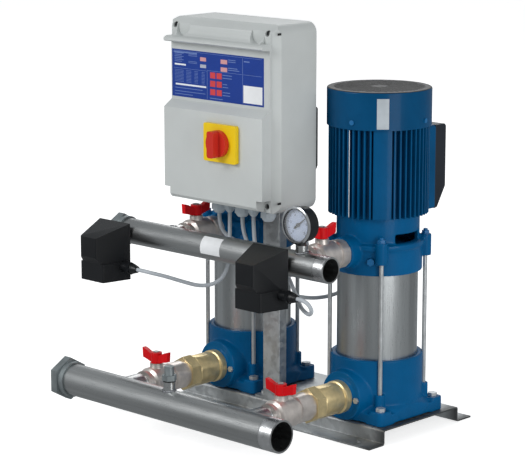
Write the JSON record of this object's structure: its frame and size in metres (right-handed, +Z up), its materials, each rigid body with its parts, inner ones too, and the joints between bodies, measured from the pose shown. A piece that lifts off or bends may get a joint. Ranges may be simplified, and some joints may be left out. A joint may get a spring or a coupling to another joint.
{
  "type": "twin pump booster set",
  "caption": "Water booster set: vertical multistage pumps on a base plate, joined by suction and discharge headers, with valves, pressure switches, gauge and control panel.",
  "frame": {"origin": "centre of the anchor hole pattern on the underside of the base plate, on the floor", "axes": "+X from the left pump to the right pump along the headers, +Y from the headers to the motors' terminal boxes, +Z up"},
  "size_m": [0.585, 0.5626, 0.763],
  "materials": {
    "blue_paint": "gloss blue paint",
    "stainless": "ground stainless",
    "galvanised": "dull galvanised",
    "zinc": "bright zinc",
    "pipe_steel": "brushed",
    "nickel": "satin nickel plate",
    "brass": "machined",
    "red_paint": "gloss red paint",
    "fan_metal": "gloss blue paint",
    "inner_steel": "machined",
    "copper_winding": "varnished",
    "grey_plastic": "fine texture",
    "light_plastic": "smooth",
    "black_plastic": "fine texture",
    "dark_plastic": "satin",
    "yellow_plastic": "smooth",
    "red_plastic": "smooth",
    "white_dial": "printed",
    "pointer_black": "matt",
    "gauge_glass": "clear",
    "cable_grey": "smooth sheath",
    "seal": "smooth",
    "spring_steel": "drawn wire",
    "device_grey": "moulded"
  },
  "bodies": {
    "frame": {"base_plate": "galvanised", "upright_post": "galvanised", "frame_bolts": "zinc", "tie_rods": "zinc", "pump_jackets": "stainless", "pump_diffusers": "stainless", "motor_stators": "copper_winding", "shaft_bearings": "inner_steel", "fan_covers": "fan_metal", "terminal_boxes": "dark_plastic", "terminal_lids": "dark_plastic", "seal_rings": "seal", "check_valve_bodies": "brass", "suction_manifold": "pipe_steel", "discharge_manifold": "pipe_steel", "manifold_caps": "nickel", "gauge_case": "black_plastic", "gauge_dial": "white_dial", "gauge_glass": "gauge_glass", "switch_covers": "black_plastic", "switch_bodies": "black_plastic", "panel_back": "grey_plastic", "panel_cover": "grey_plastic", "panel_electronics": "device_grey", "isolator_plate": "yellow_plastic", "cable_glands": "light_plastic", "left_switch_cable": "cable_grey", "right_switch_cable": "cable_grey", "left_motor_cable": "cable_grey", "right_motor_cable": "cable_grey", "left_pump_base": "blue_paint", "left_pump_head": "blue_paint", "left_motor_housing": "blue_paint", "left_check_spring": "spring_steel", "left_suction_valve_body": "nickel", "left_discharge_valve_body": "nickel", "right_pump_base": "blue_paint", "right_pump_head": "blue_paint", "right_motor_housing": "blue_paint", "right_check_spring": "spring_steel", "right_suction_valve_body": "nickel", "right_discharge_valve_body": "nickel"},
    "left_rotor": {"left_rotor_shaft": "inner_steel", "left_impellers": "stainless", "left_cooling_fan": "black_plastic"},
    "right_rotor": {"right_rotor_shaft": "inner_steel", "right_impellers": "stainless", "right_cooling_fan": "black_plastic"},
    "left_suction_handle": {"left_suction_valve_handle": "red_paint", "left_suction_valve_ball": "nickel"},
    "left_discharge_handle": {"left_discharge_valve_handle": "red_paint", "left_discharge_valve_ball": "nickel"},
    "right_suction_handle": {"right_suction_valve_handle": "red_paint", "right_suction_valve_ball": "nickel"},
    "right_discharge_handle": {"right_discharge_valve_handle": "red_paint", "right_discharge_valve_ball": "nickel"},
    "left_check": {"left_check_disc": "brass"},
    "right_check": {"right_check_disc": "brass"},
    "isolator": {"isolator_knob": "red_plastic"},
    "pointer": {"gauge_pointer": "pointer_black"}
  },
  "joints": [
    {"name": "left_rotor_spin", "type": "hinge", "parent": "frame", "child": "left_rotor", "pos_m": [-0.1615, -0.013, 0.4], "axis": [0, 0, 1], "continuous": true},
    {"name": "right_rotor_spin", "type": "hinge", "parent": "frame", "child": "right_rotor", "pos_m": [0.1615, -0.013, 0.4], "axis": [0, 0, 1], "continuous": true},
    {"name": "left_suction_valve_turn", "type": "hinge", "parent": "frame", "child": "left_suction_handle", "pos_m": [-0.1615, -0.2754, 0.0765], "axis": [0, 0, 1], "range_deg": [0, 90]},
    {"name": "left_discharge_valve_turn", "type": "hinge", "parent": "frame", "child": "left_discharge_handle", "pos_m": [-0.1615, -0.168, 0.3465], "axis": [0, 0, 1], "range_deg": [0, 90]},
    {"name": "right_suction_valve_turn", "type": "hinge", "parent": "frame", "child": "right_suction_handle", "pos_m": [0.1615, -0.2754, 0.0765], "axis": [0, 0, 1], "range_deg": [0, 90]},
    {"name": "right_discharge_valve_turn", "type": "hinge", "parent": "frame", "child": "right_discharge_handle", "pos_m": [0.1615, -0.168, 0.3465], "axis": [0, 0, 1], "range_deg": [0, 90]},
    {"name": "left_check_lift", "type": "slide", "parent": "frame", "child": "left_check", "axis": [0, 1, 0], "range_m": [0, 0.008], "stiffness_N_per_m": 200, "springref_m": -0.005, "deforming": ["left_check_spring"]},
    {"name": "right_check_lift", "type": "slide", "parent": "frame", "child": "right_check", "axis": [0, 1, 0], "range_m": [0, 0.008], "stiffness_N_per_m": 200, "springref_m": -0.005, "deforming": ["right_check_spring"]},
    {"name": "isolator_turn", "type": "hinge", "parent": "frame", "child": "isolator", "pos_m": [-0.017, -0.25, 0.544], "axis": [0, 1, 0], "range_deg": [0, 90]},
    {"name": "gauge_reading", "type": "hinge", "parent": "frame", "child": "pointer", "pos_m": [0.1785, -0.2485, 0.42], "axis": [0, 1, 0], "range_deg": [-187, 83]}
  ]
}
